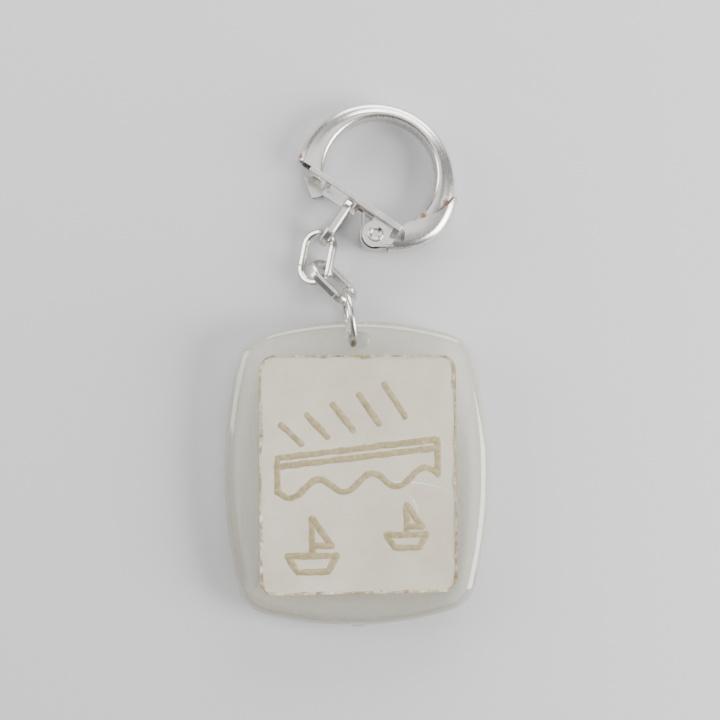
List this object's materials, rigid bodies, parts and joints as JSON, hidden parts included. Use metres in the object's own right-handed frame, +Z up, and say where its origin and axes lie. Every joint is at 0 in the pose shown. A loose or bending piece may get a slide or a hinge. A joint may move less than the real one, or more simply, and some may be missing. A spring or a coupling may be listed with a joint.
{
  "type": "keychain with snap ring",
  "caption": "Barrel-shaped clear plastic fob with a card let into each face, the front one engraved, on a jump ring, short link chain and snap ring with a sprung gate.",
  "frame": {"origin": "centre of the fob's flat back face; the table is 0.99 mm below it", "axes": "+X to the right of the fob, +Y from the fob along the chain to the snap ring, +Z up from the table; the fob is tilted 2.47 degrees about X because the jump ring lifts its top end"},
  "size_m": [0.04, 0.0805, 0.0092],
  "materials": {
    "clear_plastic": "clear, slightly yellowed, worn gloss",
    "card": "ivory satin",
    "gold_paint": "dull gold paint",
    "cement": "aged brown glue",
    "plated_link": "worn bright plating",
    "plated_sheet": "bright plating, dulled",
    "spring_steel": "dull",
    "eyelet_steel": "bright"
  },
  "bodies": {
    "fob": {"fob_body": "clear_plastic", "front_card": "card", "front_motif": "gold_paint", "front_cement": "cement", "back_card": "card", "back_cement": "cement"},
    "jump_ring": {"jump_ring": "plated_link"},
    "link_3": {"link_3": "plated_link"},
    "link_2": {"link_2": "plated_link"},
    "link_1": {"link_1": "plated_link"},
    "gate": {"gate": "plated_sheet"},
    "snap_ring": {"ring_shell": "plated_sheet", "hinge_sleeve": "plated_sheet", "leaf_spring": "spring_steel", "pivot_eyelet": "eyelet_steel"}
  },
  "joints": [
    {"name": "jump_ring_turn", "type": "hinge", "parent": "fob", "child": "jump_ring", "pos_m": [-0.00104, 0.02333, 0.00361], "axis": [0.9898, 0.1426, 0], "range_deg": [-40, 40]},
    {"name": "link_3_swing", "type": "hinge", "parent": "jump_ring", "child": "link_3", "pos_m": [-0.00162, 0.02739, 0.00361], "axis": [0, 0, 1], "range_deg": [-3, 25]},
    {"name": "link_2_swing", "type": "hinge", "parent": "link_3", "child": "link_2", "pos_m": [-0.00611, 0.03171, 0.00198], "axis": [0.4439, 0.4268, -0.7879], "range_deg": [-15, 15]},
    {"name": "link_1_swing", "type": "hinge", "parent": "link_2", "child": "link_1", "pos_m": [-0.00489, 0.03682, 0.00112], "axis": [0.8731, -0.1777, 0.454], "range_deg": [-15, 4]},
    {"name": "gate_tilt", "type": "hinge", "parent": "link_1", "child": "gate", "pos_m": [-0.00114, 0.04068, 0.00121], "axis": [0.831, -0.5563, 0], "range_deg": [-20, 2]},
    {"name": "gate_open", "type": "hinge", "parent": "gate", "child": "snap_ring", "pos_m": [0.00313, 0.03627, 0.00161], "axis": [0, 0, 1], "range_deg": [0, 20], "stiffness_Nm_per_rad": 0.02, "springref_deg": -28.65}
  ]
}
